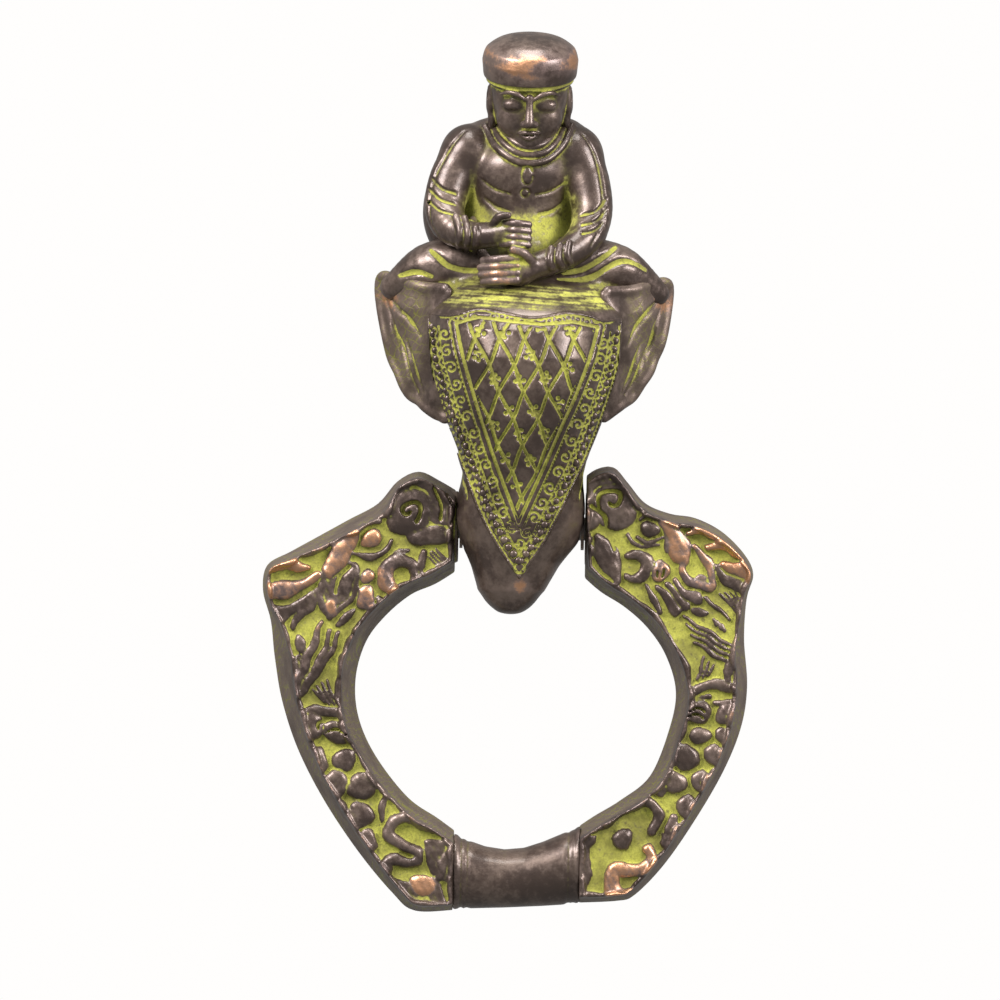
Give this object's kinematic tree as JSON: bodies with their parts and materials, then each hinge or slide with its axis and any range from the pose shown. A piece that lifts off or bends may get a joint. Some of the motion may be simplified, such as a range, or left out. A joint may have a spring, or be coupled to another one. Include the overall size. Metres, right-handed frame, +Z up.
{
  "type": "door knocker",
  "caption": "Cast-brass door knocker: a seated rider on an elephant's head, with a hinged ring of beast-headed arms and a plain grip bar hung through the trunk.",
  "frame": {"origin": "on the door's outer face, midway between the two fixing studs, at the back of the mounting bar", "axes": "+Z up the door, +Y into the door along the studs, -Y the carved front, +X to the right seen from the front"},
  "size_m": [0.1278, 0.1224, 0.2295],
  "materials": {
    "aged_brass": "dark aged brass with a soft sheen and green in the recesses",
    "patina_brass": "carved brass with yellow-green verdigris in the recesses and coppery wear on the ridges",
    "worn_brass": "handled brass worn to a coppery shine",
    "steel": "plain turned steel"
  },
  "bodies": {
    "mount": {"elephant_head": "aged_brass", "left_ear": "aged_brass", "right_ear": "aged_brass", "rider_body": "aged_brass", "rider_head": "worn_brass", "rider_screw": "steel", "mount_bar": "steel", "upper_stud": "steel", "upper_washer": "steel", "upper_nut": "steel", "lower_stud": "steel", "lower_washer": "steel", "lower_nut": "steel"},
    "ring": {"left_beast_arm": "patina_brass", "right_beast_arm": "patina_brass", "left_pin_washer": "worn_brass", "right_pin_washer": "worn_brass", "grip_bar": "aged_brass", "striker_button": "worn_brass", "hinge_pin": "steel"}
  },
  "joints": [
    {"name": "ring_swing", "type": "hinge", "parent": "mount", "child": "ring", "pos_m": [0, -0.025, -0.046], "axis": [-1, 0, 0], "range_deg": [-9, 145]}
  ]
}
